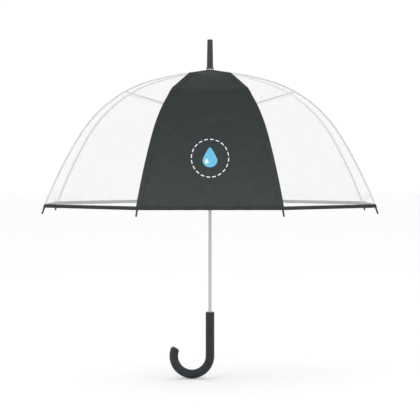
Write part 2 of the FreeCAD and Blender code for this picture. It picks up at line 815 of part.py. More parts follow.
def trim_to_panel(body, name, gap):
    """Cut away what lies outside the wedge between two rib planes, `gap` short of each."""
    far = WEDGE_REACH
    slope = math.tan(math.radians(HALF_PANEL))
    step = gap / PANEL_SQUEEZE
    for side, word in ((1, "left"), (-1, "right")):
        edge = far * slope - step
        corners = [(step / slope, 0), (far, side * edge), (far, side * far), (-far, side * far), (-far, 0)]
        sketch = new_sketch(body, f"{name}_{word}_waste", "XY_Plane")
        draw_polygon(sketch, corners)
        pocket(body, sketch, f"{name}_{word}_trim", f"{CUT_THROUGH}")


def make_panel(index):
    """One gore of thin clear film, flat across between its two ribs."""
    body = new_body(f"panel_{index + 1}")
    name = body.Name
    half = size("film_thickness") / 2
    start = CROWN.slope_at(size("film_hole") / PANEL_SQUEEZE)
    runs = [
        (CROWN, start, CROWN.last),
        (SHOULDER, SHOULDER.first, JOINT_SLOPE),
        (SHOULDER, JOINT_SLOPE, SHOULDER.last),
        (SKIRT, SKIRT.first, SKIRT.last),
    ]
    sketch = new_sketch(body, name + "_side")
    draw_outline(sketch, strip(runs, -half, half, PANEL_SQUEEZE))
    pad(body, sketch, name + "_strip", f"{STRIP_WIDTH}")
    trim_to_panel(body, name, size("seam_gap") / 2)
    turn_about_shaft(body, panel_azimuth(index))


def hem_frame():
    """The hem's middle point on the film, with the directions down the film and out of it."""
    base = SKIRT.point(SKIRT.last, 0.0, PANEL_SQUEEZE)
    slope = SKIRT.last
    down = FreeCAD.Vector(math.cos(slope) * PANEL_SQUEEZE, -math.sin(slope), 0)
    down.normalize()
    out = FreeCAD.Vector(-down.y, down.x, 0)
    return base, down, out


def film_box(first, last, low, high):
    """Corners of a rectangle by the hem: first to last down the film, low to high out of it."""
    base, down, out = hem_frame()
    places = ((first, low), (last, low), (last, high), (first, high))
    points = [base + down * along + out * side for along, side in places]
    return [(point.x, point.y) for point in points]


def make_hem_tape(index):
    """The dark tape folded round a panel's lower edge."""
    body = new_body(f"hem_tape_{index + 1}")
    name = body.Name
    inner = size("film_thickness") / 2 + size("hem_gap")
    outer = inner + size("hem_wall")
    fold = size("hem_gap") + size("hem_wall")
    top = -size("hem_height")
    outside = new_sketch(body, name + "_side")
    draw_polygon(outside, film_box(top, fold, -outer, outer))
    pad(body, outside, name + "_strip", f"{STRIP_WIDTH}")
    inside = new_sketch(body, name + "_inside")
    draw_polygon(inside, film_box(top - OVERCUT, size("hem_gap"), -inner, inner))
    pocket(body, inside, name + "_fold", f"{STRIP_WIDTH + CUTTER_REACH}")
    trim_to_panel(body, name, size("hem_end_gap"))
    turn_about_shaft(body, panel_azimuth(index))


def make_tie_strap(index):
    """The closing strap, folded flat along the outside of one panel above its hem."""
    body = new_body("tie_strap")
    low = size("film_thickness") / 2 + size("strap_gap")
    rise = size("strap_rise")
    sketch = new_sketch(body, "tie_strap_side")
    top = -rise - size("strap_width")
    draw_polygon(sketch, film_box(top, -rise, low, low + size("strap_thickness")))
    pad(body, sketch, "tie_strap_band", "Dimensions.strap_length")
    turn_about_shaft(body, panel_azimuth(index))


# ---- the whole umbrella --------------------------------------------------------------

make_shaft_tube()
make_ferrule()
make_ring(
    "canopy_washer", "Dimensions.washer_radius", "Dimensions.shaft_radius + Dimensions.slide_fit",
    "Dimensions.washer_height", "Dimensions.washer_bottom",
)
make_notch()
make_ring_wire()
make_stop_pin()
make_handle()
make_ring(
    "handle_collar", "Dimensions.collar_radius", "Dimensions.shaft_radius + Dimensions.slide_fit",
    "Dimensions.collar_height", "Dimensions.handle_top",
)
make_runner()
make_catch("top_catch", TOP_CATCH_BASE, ledge_on_top=True)
make_catch("bottom_catch", BOTTOM_CATCH_BASE, ledge_on_top=False)
for number in range(int(size("rib_count"))):
    make_upper_rib(number)
    make_lower_rib(number)
    make_tip_cap(number)
    make_stretcher(number)
    make_panel(number)
    make_hem_tape(number)
make_tie_strap(BACK_PANEL)
doc.recompute()

for item in doc.Objects:
    if "Invalid" in item.State or "Error" in item.State:
        raise RuntimeError(f"{item.Label} is {item.State}")
for item in sub_parts:
    if item.Shape.isNull() or not item.Shape.isValid():
        raise RuntimeError(f"{item.Label} has no valid shape")

os.makedirs("parts", exist_ok=True)
for item in sub_parts:
    item.Shape.exportStep(f"parts/{item.Label}.step")
    print(f"{item.Label}: {len(item.Shape.Solids)} solid, {item.Shape.Volume:.1f} mm3")

places = {"notch": notch_pivot, "joint": joint_pivot, "runner": runner_pivot, "hem": hem_end}
for name, place in places.items():
    print(f"{name}: {place.x:.4f} from the shaft, {place.y:.4f} high")
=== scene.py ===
import json
import math

import bpy
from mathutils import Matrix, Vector


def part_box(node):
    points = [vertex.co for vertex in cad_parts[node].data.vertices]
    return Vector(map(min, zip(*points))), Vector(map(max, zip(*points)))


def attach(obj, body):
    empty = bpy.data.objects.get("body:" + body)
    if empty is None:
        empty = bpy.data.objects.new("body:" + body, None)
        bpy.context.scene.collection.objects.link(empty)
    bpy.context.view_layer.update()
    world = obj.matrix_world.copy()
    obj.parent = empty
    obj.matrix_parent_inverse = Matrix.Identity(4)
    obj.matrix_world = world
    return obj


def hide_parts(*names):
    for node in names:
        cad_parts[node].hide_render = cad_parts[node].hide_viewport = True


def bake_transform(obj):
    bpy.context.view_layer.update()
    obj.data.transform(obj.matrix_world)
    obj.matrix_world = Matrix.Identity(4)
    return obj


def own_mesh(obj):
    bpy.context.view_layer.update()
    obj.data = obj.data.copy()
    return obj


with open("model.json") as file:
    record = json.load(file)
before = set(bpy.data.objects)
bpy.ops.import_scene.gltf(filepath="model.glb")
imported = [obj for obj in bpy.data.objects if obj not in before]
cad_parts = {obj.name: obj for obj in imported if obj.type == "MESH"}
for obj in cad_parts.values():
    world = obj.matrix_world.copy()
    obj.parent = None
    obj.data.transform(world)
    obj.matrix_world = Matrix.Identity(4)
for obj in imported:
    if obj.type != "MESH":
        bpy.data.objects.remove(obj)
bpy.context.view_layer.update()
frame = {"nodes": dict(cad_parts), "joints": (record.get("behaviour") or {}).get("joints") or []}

# The looks of a clear bubble umbrella, in metres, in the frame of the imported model: shaft on Z,
# hook towards -X, dark panel towards -Y.

JOINTS = {joint["name"]: joint for joint in frame["joints"]}
RIB_COUNT = 8
HALF_PANEL = math.pi / RIB_COUNT
SQUEEZE = math.cos(HALF_PANEL)
DARK_PANEL = 7
DARK_SEAMS = (6, 7)
STRAP_PANEL = 3

# The canopy's meridian: (radius, turn) of its three tangent arcs, from the crown to the hem.
CROWN_HEIGHT = 0.7687
CROWN_SLOPE = math.radians(5.25)
MERIDIAN = (
    (0.8987, math.radians(9.84)),
    (0.3289, math.radians(42.3)),
    (1.0408, math.radians(10.56)),
)
# Where the dark cloth is tied along its two ribs, as (from the shaft, height). It runs straight
# from one tie to the next.
CLOTH_TIES = ((0.0, 0.7687), (0.1253, 0.7549), (0.2305, 0.7135), (0.2948, 0.6603))
FILM_HOLE = 0.0054
HEM_HEIGHT = 0.008
# The middle of the dark cloth stands this share of its edges' lift.
MIDDLE_LIFT = 0.4

# The film's relief: its sag between ribs, creases that fan from the lower corners, and soft waves.
SLACK = 0.0016
CREASE_HEIGHT = 0.0011
CREASE_REACH = 0.07
CREASE_START = 0.02
CORNER_SPREAD = 0.16
WAVE_HEIGHT = 0.0005
UPPER_RELIEF = 0.35

# The seams over the ribs, and the dark cloth's doubled edge beside them, in half seam widths.
SEAM_HALF_WIDTH = 0.0032
SEAM_LIFT = 0.0005
SEAM_CROWN = 0.0004
SEAM_START = 0.004
SEAM_FULL_ROOM = 0.006
SEAM_BEND = 0.012
FLAP_REACHES = (3.0, 2.4, 1.7)
FLAP_LIFT = 0.0006
FLAP_MOST = 0.8

# The film's welded patch at the crown.
PATCH_RADIUS = 0.021
PATCH_LIFT = 0.00035
PATCH_EDGE_LIFT = 0.0001

# The hem's folded tape and its stitches, with a stitch's outline as (along, share of thickness).
TAPE_WALL = 0.0005
TAPE_GAP = 0.00025
TAPE_SWELL = 0.00015
PUCKER_HEIGHT = 0.00012
STITCH_PITCH = 0.0034
STITCH_SHARE = 0.36
STITCH_DOWN = -0.0062
STITCH_OUT = 0.00084
STITCH_SECTION = ((0.0002, 0.0), (0.0, 0.00022), (-0.0002, 0.0))
STITCH_OUTLINE = ((-1.0, 0.35), (-0.6, 1.0), (0.6, 1.0), (1.0, 0.35))

# The print: its place down the film, how much it is stretched for the panel's lean, and its size.
PRINT_CENTRE = 0.4585
PRINT_STRETCH = 1.17
PRINT_LIFT = 0.0003
RING_RADIUS = 0.0425
RING_HALF_WIDTH = 0.0011
RING_STROKES = 20
STROKE_SHARE = 0.62
DROP_HALF_WIDTH = 0.017
DROP_HEIGHT = 0.016
DROP_TIP = 1.8
DROP_TAPER = 0.55
DROP_SINK = 0.005
GLINT_SCALE = 0.25
GLINT_ASIDE = -0.0075
GLINT_SINK = 0.004
GLINT_LIFT = 0.0005

# The strap and its stud, with the stud's section as (radius, height).
STRAP_WIDTH = 0.014
STRAP_THICKNESS = 0.0008
STRAP_DOWN = -0.024
STRAP_OUT = 0.0011
STRAP_BULGE = 0.00025
STRAP_TAPER = 0.35
STRAP_TAPER_START = 0.93
STUD_PLACE = 0.82
STUD_OUT = 0.0019
STUD_SECTION = (
    (0.0, 0.0017), (0.0018, 0.0016), (0.003, 0.0012), (0.0036, 0.0009),
    (0.0042, 0.0011), (0.0046, 0.0008), (0.0047, 0.0),
)

# The handle's path, its rim as (how far down, how far in from the side), and its end face.
HOOK_RADIUS = 0.0452
HOOK_TURN = math.radians(207)
HOOK_ROUNDING = 0.006
HANDLE_RIM = ((0.0, 0.0062), (0.0, 0.0011), (0.0002, 0.0004), (0.0009, 0.0))
HANDLE_END_INSETS = (0.0075, 0.0098)

# The studio: each light's name, place, width and power, then the surround and the camera.
LIGHTS = (
    ("key", (-2.2, -3.0, 3.0), 2.2, 26),
    ("fill", (2.8, -2.4, 1.8), 2.4, 14),
    ("top", (0, 0.6, 3.6), 2.6, 5),
)
LIGHT_TARGET = (0, 0, 0.45)
SURROUND_STRENGTH = 1.02
FLOOR_RADIUS = 30.0
FLOOR_HEIGHT = -0.0005
CAMERA_PLACE = (0, -4.085, 0.526)
CAMERA_TILT_DOWN = math.radians(1.48)
CAMERA_LENS = 140.66


# ---- meridian -------------------------------------------------------------------------


def meridian_length():
    return sum(radius * turn for radius, turn in MERIDIAN)


def meridian_point(distance):
    """Distance from the shaft, height and slope, a distance along the film from the crown."""
    x, z, slope = 0.0, CROWN_HEIGHT, CROWN_SLOPE
    left = distance
    for number, (radius, turn) in enumerate(MERIDIAN):
        last = number == len(MERIDIAN) - 1
        angle = left / radius if last else min(turn, left / radius)
        x += radius * (math.sin(slope + angle) - math.sin(slope))
        z += radius * (math.cos(slope + angle) - math.cos(slope))
        slope += angle
        left -= radius * angle
        if left <= 1e-9:
            break
    return x, z, slope


def distance_at(reach):
    """How far down the film it is at a distance from the shaft, by halving."""
    low, high = 0.0, meridian_length()
    for _ in range(40):
        middle = (low + high) / 2
        if meridian_point(middle)[0] < reach:
            low = middle
        else:
            high = middle
    return (low + high) / 2


LENGTH = meridian_length()
FLEX = Vector(JOINTS["panel_flex_1"]["pos_m"])
JOINT_DISTANCE = distance_at(math.hypot(FLEX.x, FLEX.y) / SQUEEZE)
START_DISTANCE = distance_at(FILM_HOLE / SQUEEZE)


def panel_azimuth(number):
    return 2 * HALF_PANEL * (number - 1)


def rib_azimuth(number):
    return 2 * HALF_PANEL * (number - 1) + HALF_PANEL


def outward(azimuth):
    return Vector((math.cos(azimuth), math.sin(azimuth), 0))


def sideways(azimuth):
    return Vector((-math.sin(azimuth), math.cos(azimuth), 0))


def gore_frame(distance):
    """The middle of a panel at a distance down the film: reach, height and outward normal."""
    x, z, slope = meridian_point(distance)
    normal = Vector((math.sin(slope), 0, math.cos(slope) * SQUEEZE)).normalized()
    return x * SQUEEZE, z, normal


def half_width_at(distance):
    """Half a panel's width at a distance down the film."""
    return gore_frame(distance)[0] * math.tan(HALF_PANEL)


def cloth_lift(reach, height):
    """How far the dark cloth's edge stands above its rib, at a distance from the shaft."""
    for inner, outer in zip(CLOTH_TIES, CLOTH_TIES[1:]):
        if inner[0] <= reach <= outer[0]:
            share = (reach - inner[0]) / (outer[0] - inner[0])
            return max(0.0, inner[1] + (outer[1] - inner[1]) * share - height)
    return 0.0


def edge_lift(number, across, distance):
    """The lift of the dark cloth's edges, shared out across that panel and its two neighbours."""
    x, z, _ = meridian_point(distance)
    lift = cloth_lift(x, z)
    if number == DARK_PANEL:
        return lift * (MIDDLE_LIFT + (1 - MIDDLE_LIFT) * across ** 2)
    if number == DARK_PANEL - 1:
        return lift * (1 + across) / 2
    if number == DARK_PANEL + 1:
        return lift * (1 - across) / 2
    return 0.0


def film_relief(number, across, distance):
    """How far the film stands off its flat shape: slack between the ribs and creases at the hem."""
    down = (distance - JOINT_DISTANCE) / (LENGTH - JOINT_DISTANCE)
    edge = 1 - across * across
    slack = -SLACK * edge * math.sin(math.pi * min(1.0, max(0.0, distance / LENGTH)))
    phase = 1.7 * number  # so that no two panels have the same creases
    to_hem = max(0.0, LENGTH - distance)
    crease = 0.0
    for side in (-1, 1):
        aside = (1 - side * across) * CORNER_SPREAD
        reach = math.hypot(aside, to_hem)
        angle = math.atan2(to_hem, aside + 1e-6)
        fan = math.sin(9 * angle + phase + side) * math.sin(5 * angle - phase)
        fade = math.exp(-reach / CREASE_REACH) * min(1.0, reach / CREASE_START)
        crease += CREASE_HEIGHT * fan * fade
    wave = math.sin(23 * across + phase + 31 * distance) * math.sin(14 * distance + phase)
    share = UPPER_RELIEF + (1 - UPPER_RELIEF) * max(0.0, down)
    return slack + (crease * min(1.0, 4 * edge) + WAVE_HEIGHT * wave * edge) * share


def film_point(number, across, distance, lift=0.0):
    """A point of a panel: across from -1 to 1 between its ribs, lifted off its outer face."""
    reach, height, normal = gore_frame(distance)
    azimuth = panel_azimuth(number)
    stand = lift + film_relief(number, across, distance) + edge_lift(number, across, distance)
    point = outward(azimuth) * (reach + normal.x * stand)
    point += sideways(azimuth) * (across * half_width_at(distance))
    point.z = height + normal.z * stand
    return point


# ---- helpers --------------------------------------------------------------------------


def turn_at(step, steps):
    """The angle of a step round a circle."""
    return 2 * math.pi * step / steps


def add_mesh(name, points, faces, material):
    mesh = bpy.data.meshes.new(name)
    mesh.from_pydata([tuple(point) for point in points], [], faces)
    mesh.validate()
    for polygon in mesh.polygons:
        polygon.use_smooth = True
    mesh.materials.append(material)
    piece = bpy.data.objects.new(name, mesh)
    bpy.context.scene.collection.objects.link(piece)
    return piece


def grid_faces(rows, columns, closed=False):
    """Faces of a grid of points stored row by row. When closed, the last column joins the first."""
    faces = []
    for row in range(rows - 1):
        for column in range(columns if closed else columns - 1):
            here = row * columns + column
            beside = row * columns + (column + 1) % columns
            faces.append((here, beside, beside + columns, here + columns))
    return faces


def tube(name, path, radius, material, sides=12, closed=False):
    """A round bar along a list of points."""
    count = len(path)
    points = []
    across = None
    for index, centre in enumerate(path):
        before = path[index - 1] if closed or index else path[0]
        after = path[(index + 1) % count] if closed or index < count - 1 else path[-1]
        along = (after - before).normalized()
        if across is None:
            across = along.orthogonal().normalized()
        across = (across - along * across.dot(along)).normalized()
        other = along.cross(across)
        for side in range(sides):
            angle = turn_at(side, sides)
            points.append(centre + (across * math.cos(angle) + other * math.sin(angle)) * radius)
    faces = grid_faces(count, sides, closed=True)
    if closed:
        last = (count - 1) * sides
        faces += [(last + s, last + (s + 1) % sides, (s + 1) % sides, s) for s in range(sides)]
    else:
        faces.append(tuple(range(sides - 1, -1, -1)))
        faces.append(tuple((count - 1) * sides + side for side in range(sides)))
    return add_mesh(name, points, faces, material)


def circle_path(centre, radius, count):
    """Points of a level circle."""
    return [centre + outward(turn_at(index, count)) * radius for index in range(count)]


def fold_with_runner(piece):
    """Give the piece a mesh of its own."""
    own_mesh(piece)


# ---- materials ------------------------------------------------------------------------


class Nodes:
    """A short way to build a node material around one Principled BSDF."""

    def __init__(self, name):
        self.material = bpy.data.materials.new(name)
        self.material.use_nodes = True
        self.tree = self.material.node_tree
        self.shader = self.tree.nodes["Principled BSDF"]
        self.place = self.tree.nodes.new("ShaderNodeTexCoord").outputs["Object"]

    def add(self, kind, **values):
        node = self.tree.nodes.new(kind)
        for name, value in values.items():
            if hasattr(node, name):
                setattr(node, name, value)
            else:
                node.inputs[name.replace("_", " ")].default_value = value
        return node

    def link(self, output, target):
        self.tree.links.new(output, target)

    def set(self, **values):
        for name, value in values.items():
            self.shader.inputs[name.replace("_", " ")].default_value = value

    def mapping(self, scale):
        node = self.add("ShaderNodeMapping", Scale=scale)
        self.link(self.place, node.inputs["Vector"])
        return node.outputs["Vector"]

    def noise(self, scale, detail, vector=None):
        node = self.add("ShaderNodeTexNoise", Scale=scale, Detail=detail)
        self.link(vector or self.place, node.inputs["Vector"])
        return node.outputs["Fac"]

    def wave(self, scale, direction):
        node = self.add("ShaderNodeTexWave", bands_direction=direction, Scale=scale)
        self.link(self.place, node.inputs["Vector"])
        return node.outputs["Fac"]

    def spread(self, value, low, high):
        """A value of 0 to 1 brought to the span from low to high."""
        node = self.add("ShaderNodeMapRange", To_Min=low, To_Max=high)
        self.link(value, node.inputs["Value"])
        return node.outputs["Result"]

    def colours(self, value, dark, light, start=0.3, end=0.7):
        node = self.add("ShaderNodeValToRGB")
        for element, place, colour in zip(node.color_ramp.elements, (start, end), (dark, light)):
            element.position = place
            element.color = (*colour, 1)
        self.link(value, node.inputs["Fac"])
        return node.outputs["Color"]

    def combine(self, first, second, operation):
        node = self.add("ShaderNodeMath", operation=operation)
        self.link(first, node.inputs[0])
        self.link(second, node.inputs[1])
        return node.outputs["Value"]

    def fade(self, top, bottom, low, high):
        """A value that is low at the height top and high at the height bottom; it lays the painted
        shade on the dark cloth by height.
        """
        split = self.add("ShaderNodeSeparateXYZ")
        self.link(self.place, split.inputs["Vector"])
        node = self.add(
            "ShaderNodeMapRange", From_Min=bottom, From_Max=top, To_Min=high, To_Max=low
        )
        self.link(split.outputs["Z"], node.inputs["Value"])
        return node.outputs["Result"]

    def bump(self, value, height, strength):
        node = self.add("ShaderNodeBump", Distance=height, Strength=strength)
        self.link(value, node.inputs["Height"])
        self.link(node.outputs["Normal"], self.shader.inputs["Normal"])

    def paint(self, value):
        self.link(value, self.shader.inputs["Base Color"])

    def polish(self, value, low, high):
        self.link(self.spread(value, low, high), self.shader.inputs["Roughness"])


def film_material(name, haze, milk):
    """Soft clear film: an uneven faint haze, cloudy gloss and fine handling creases."""
    nodes = Nodes(name)
    nodes.set(IOR=1.49, Specular_IOR_Level=0.5)
    nodes.link(nodes.spread(nodes.noise(9, 5), *haze), nodes.shader.inputs["Alpha"])
    nodes.paint(nodes.colours(nodes.noise(18, 4), milk, tuple(min(1.0, c * 1.03) for c in milk)))
    nodes.polish(nodes.noise(45, 5), 0.14, 0.26)
    nodes.bump(nodes.noise(14, 2, nodes.mapping((1, 1, 0.35))), 0.0008, 0.2)
    return nodes.material


def cloth_material(name, dark, light, threads, rough, sheen, painted_shade_heights=None):
    """Plain weave: two crossed sets of threads, a slight unevenness and a soft sheen.

    With an upper and a lower height given, the colour goes from dark at the upper one to light at
    the lower one: painted shade, darker higher up and lighter lower down.
    """
    nodes = Nodes(name)
    nodes.set(Sheen_Weight=sheen, Sheen_Roughness=0.4, Specular_IOR_Level=0.06)
    warp = nodes.wave(threads, "Z")
    weft = nodes.combine(nodes.wave(threads, "X"), nodes.wave(threads, "Y"), "MAXIMUM")
    weave = nodes.combine(warp, weft, "ADD")
    mottle = nodes.noise(60, 6)
    if painted_shade_heights:
        # Painted shade: a colour ramp by height, darker higher up, with a slight mottle added.
        slight_mottle = nodes.spread(mottle, -0.2, 0.2)
        shade = nodes.combine(slight_mottle, nodes.fade(*painted_shade_heights, 0.2, 0.8), "ADD")
        nodes.paint(nodes.colours(shade, dark, light, 0.0, 1.0))
    else:
        nodes.paint(nodes.colours(mottle, dark, light))
    nodes.polish(mottle, rough - 0.08, rough + 0.08)
    nodes.bump(weave, 0.00012, 0.5)
    return nodes.material


def metal_material(name, dark, light, low, high, stretch):
    """Drawn or brushed metal: fine lines along the piece and slight tarnish."""
    nodes = Nodes(name)
    nodes.set(Metallic=1.0)
    lines = nodes.noise(1.0, 4, nodes.mapping(stretch))
    nodes.paint(nodes.colours(lines, dark, light))
    nodes.polish(lines, low, high)
    nodes.bump(lines, 0.00003, 0.3)
    return nodes.material


def plastic_material(name, dark, light, low, high, grain=900, depth=0.00006, gloss=0.5):
    """Moulded plastic: a fine grain, small marks and uneven gloss."""
    nodes = Nodes(name)
    nodes.set(Specular_IOR_Level=gloss)
    marks = nodes.noise(35, 6)
    nodes.paint(nodes.colours(marks, dark, light))
    nodes.polish(marks, low, high)
    nodes.bump(nodes.noise(grain, 3), depth, 0.4)
    return nodes.material


FILM = film_material("film", (0.39, 0.45), (0.79, 0.79, 0.77))
SEAM_FILM = film_material("seam_film", (0.48, 0.56), (0.72, 0.725, 0.715))
# The dark panel's cloth is painted with shade by height: darker at the crown, lighter towards the
# hem.
PANEL_CLOTH = cloth_material(
    "panel_cloth", (0.011, 0.0165, 0.0175), (0.058, 0.0645, 0.0655),
    threads=900, rough=0.72, sheen=0.04, painted_shade_heights=(0.77, 0.43),
)
TAPE_CLOTH = cloth_material(
    "tape_cloth", (0.03, 0.035, 0.036), (0.042, 0.048, 0.05), threads=1400, rough=0.8, sheen=0.03
)
THREAD = cloth_material(
    "thread", (0.05, 0.055, 0.058), (0.09, 0.097, 0.1), threads=3000, rough=0.7, sheen=0.25
)
PRINT_BLUE = plastic_material("print_blue", (0.1, 0.42, 0.62), (0.13, 0.48, 0.68), 0.45, 0.6)
PRINT_WHITE = plastic_material("print_white", (0.72, 0.76, 0.77), (0.8, 0.83, 0.84), 0.45, 0.6)
SHAFT_METAL = metal_material(
    "shaft_metal", (0.44, 0.44, 0.445), (0.53, 0.53, 0.53), 0.2, 0.34, stretch=(400, 400, 6)
)
RIB_METAL = metal_material(
    "rib_metal", (0.6, 0.61, 0.615), (0.72, 0.73, 0.735), 0.28, 0.42, stretch=(300, 300, 300)
)
SPRING_METAL = metal_material(
    "spring_metal", (0.45, 0.45, 0.46), (0.6, 0.6, 0.61), 0.22, 0.36, stretch=(200, 200, 200)
)
RUBBER = plastic_material(
    "handle_rubber", (0.017, 0.02, 0.023), (0.024, 0.028, 0.032), 0.3, 0.42,
    grain=1300, depth=0.00004, gloss=0.25,
)
BLACK_PLASTIC = plastic_material(
    "black_plastic", (0.014, 0.017, 0.018), (0.022, 0.026, 0.028), 0.36, 0.5
)
PALE_PLASTIC = plastic_material(
    "pale_plastic", (0.66, 0.66, 0.64), (0.74, 0.74, 0.72), 0.25, 0.4
)


def dress_nodes():
    """Give every CAD node that stays visible its material."""
    plain = {
        "shaft_tube": SHAFT_METAL, "handle_collar": SHAFT_METAL, "handle_grip": RUBBER,
        "ferrule": BLACK_PLASTIC, "top_notch": BLACK_PLASTIC, "runner": BLACK_PLASTIC,
        "canopy_washer": PALE_PLASTIC, "tie_strap": TAPE_CLOTH, "notch_ring_wire": SPRING_METAL,
        "runner_stop_pin": SPRING_METAL, "top_catch": SPRING_METAL, "bottom_catch": SPRING_METAL,
    }
    families = {
        "upper_rib": RIB_METAL, "lower_rib": RIB_METAL, "stretcher": RIB_METAL,
        "tip_cap": BLACK_PLASTIC, "panel": FILM, "hem_tape": TAPE_CLOTH,
    }
    for name, node in frame["nodes"].items():
        material = plain.get(name) or families[name.rsplit("_", 1)[0]]
        node.data.materials.clear()
        node.data.materials.append(material)


# ---- canopy ---------------------------------------------------------------------------


def make_gore_half(number, word, first, last, rows, body):
    """Part of a panel between two distances down the film, as one open sheet."""
    columns = 41
    length = last - first
    points = []
    for row in range(rows):
        distance = first + length * row / (rows - 1)
        for column in range(columns):
            across = -1 + 2 * column / (columns - 1)
            points.append(film_point(number, across, distance))
    dark = number == DARK_PANEL
    material = PANEL_CLOTH if dark else FILM
    kind = "cloth" if dark else "film"
    piece = add_mesh(f"{kind}_{word}_{number}", points, grid_faces(rows, columns), material)
    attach(piece, f"{body}_{number}")
    fold_with_runner(piece)
    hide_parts(f"panel_{number}")
    low_width = 2 * half_width_at(last)
    film_area(first, last)


def film_area(first, last):
    """A panel's area between two distances down the film, summed over narrow strips."""
    strips = 60
    step_down = 0.0005
    area = 0.0
    for step in range(strips):
        middle = first + (last - first) * (step + 0.5) / strips
        ahead = gore_frame(middle + step_down)
        behind = gore_frame(middle - step_down)
        slant = math.hypot(ahead[0] - behind[0], ahead[1] - behind[1]) / (2 * step_down)
        area += 2 * half_width_at(middle) * slant * (last - first) / strips
    return area


def seam_flap(number, distance, half):
    """Points across the dark cloth's doubled edge beside a seam, from its free edge outwards."""
    points = []
    for reach in FLAP_REACHES:
        aside = 1 - min(FLAP_MOST, reach * half / half_width_at(distance))
        across = aside if number == DARK_PANEL else -aside
        points.append(film_point(DARK_PANEL, across, distance, FLAP_LIFT))
    return points


def make_seam(number):
    """The seam over a rib: milky film, or dark cloth with a doubled edge."""
    rows = 90
    profile = (1.0, 0.5, 0.0, -0.5, -1.0)
    azimuth = rib_azimuth(number)
    dark = number in DARK_SEAMS
    inner_side = -1 if number == DARK_PANEL else 1
    start = START_DISTANCE + SEAM_START
    points = []
    for row in range(rows):
        distance = start + (LENGTH - start) * row / (rows - 1)
        x, z, slope = meridian_point(distance)
        if dark:
            z += cloth_lift(x, z)
        half = SEAM_HALF_WIDTH * min(1.0, x * math.tan(HALF_PANEL) / SEAM_FULL_ROOM)
        strip = []
        for side in profile:
            sag = abs(side) * half * math.tan(HALF_PANEL) * math.sin(slope)
            stand = SEAM_LIFT - sag + SEAM_CROWN * (1 - side * side)
            place = outward(azimuth) * (x + math.sin(slope) * stand)
            place += sideways(azimuth) * (inner_side * side * half)
            place.z = z + math.cos(slope) * stand
            strip.append(place)
        if dark:
            strip = seam_flap(number, distance, half) + strip
        if inner_side > 0:
            strip.reverse()
        points += strip
    columns = len(profile) + (len(FLAP_REACHES) if dark else 0)
    material = PANEL_CLOTH if dark else SEAM_FILM
    piece = add_mesh(f"seam_{number}", points, grid_faces(rows, columns), material)
    joint_x, joint_z, joint_slope = meridian_point(JOINT_DISTANCE)
    along = outward(azimuth) * math.cos(joint_slope) - Vector((0, 0, math.sin(joint_slope)))
    middle = outward(azimuth) * joint_x + Vector((0, 0, joint_z))
    start, end = tuple(middle - along * SEAM_BEND), tuple(middle + along * SEAM_BEND)
    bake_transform(piece)


def hem_profile():
    """The folded tape's section round its outline, as (down past the hem, out of the film)."""
    top = -HEM_HEIGHT
    outer = TAPE_GAP + TAPE_WALL
    swell = (top * 0.5, outer + TAPE_SWELL)
    points = [(top, TAPE_GAP), (top, outer), swell, (0.0, outer)]
    for step in range(1, 6):
        angle = math.pi * step / 6
        points.append((outer * math.sin(angle), outer * math.cos(angle)))
    points += [(0.0, -outer), (swell[0], -swell[1]), (top, -outer), (top, -TAPE_GAP)]
    points += [(0.0, -TAPE_GAP), (0.0, TAPE_GAP)]
    return points


def hem_point(number, across, down, out):
    """A point by a panel's hem, from the film's edge."""
    step_back = 0.004
    base = film_point(number, across, LENGTH)
    before = film_point(number, across, LENGTH - step_back)
    along = (base - before).normalized()
    normal = along.cross(sideways(panel_azimuth(number))).normalized()
    if normal.dot(outward(panel_azimuth(number))) < 0:
        normal = -normal
    return base + along * down + normal * out


def make_hem(number):
    """The dark binding folded over a panel's edge, slightly puckered, and its stitches."""
    profile = hem_profile()
    stations = 97
    points = []
    for station in range(stations):
        across = -1 + 2 * station / (stations - 1)
        pucker = PUCKER_HEIGHT * math.sin(150 * across + number)
        for down, out in profile:
            points.append(hem_point(number, across, down, out + pucker))
    faces = grid_faces(stations, len(profile), closed=True)
    binding = add_mesh(f"hem_binding_{number}", points, faces, TAPE_CLOTH)
    stitches = make_stitches(number)
    for piece in (binding, stitches):
        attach(piece, f"panel_skirt_{number}")
        fold_with_runner(piece)
    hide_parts(f"hem_tape_{number}")
    return binding, stitches


def make_stitches(number):
    """A row of raised lockstitches near the binding's upper edge, outside and inside."""
    count = int(2 * half_width_at(LENGTH) / STITCH_PITCH)
    half = 2 * STITCH_SHARE / count
    points = []
    faces = []
    for index in range(count):
        middle = -1 + 2 * (index + 0.5) / count
        for face in (1, -1):
            first = len(points)
            for along, thin in STITCH_OUTLINE:
                for down, out in STITCH_SECTION:
                    place = STITCH_DOWN + down * thin
                    stand = face * (STITCH_OUT + out * thin)
                    points.append(hem_point(number, middle + half * along, place, stand))
            for step in range(3):
                a = first + 3 * step
                faces += [(a, a + 1, a + 4, a + 3), (a + 1, a + 2, a + 5, a + 4)]
    return add_mesh(f"hem_stitches_{number}", points, faces, THREAD)


def make_crown_patch():
    """The reinforcing disc welded on the film round the shaft."""
    rings, around = 5, 64
    points = []
    for ring in range(rings):
        reach = FILM_HOLE + (PATCH_RADIUS - FILM_HOLE) * ring / (rings - 1)
        for step in range(around):
            angle = turn_at(step, around)
            gore_angle = (angle + HALF_PANEL) % (2 * HALF_PANEL) - HALF_PANEL
            along_gore = reach * math.cos(gore_angle) / SQUEEZE
            x, z, _ = meridian_point(along_gore)
            lift = PATCH_LIFT if ring < rings - 1 else PATCH_EDGE_LIFT
            points.append(outward(angle) * reach + Vector((0, 0, z + lift)))
    piece = add_mesh("crown_patch", points, grid_faces(rings, around, closed=True), SEAM_FILM)
    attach(piece, "shaft")


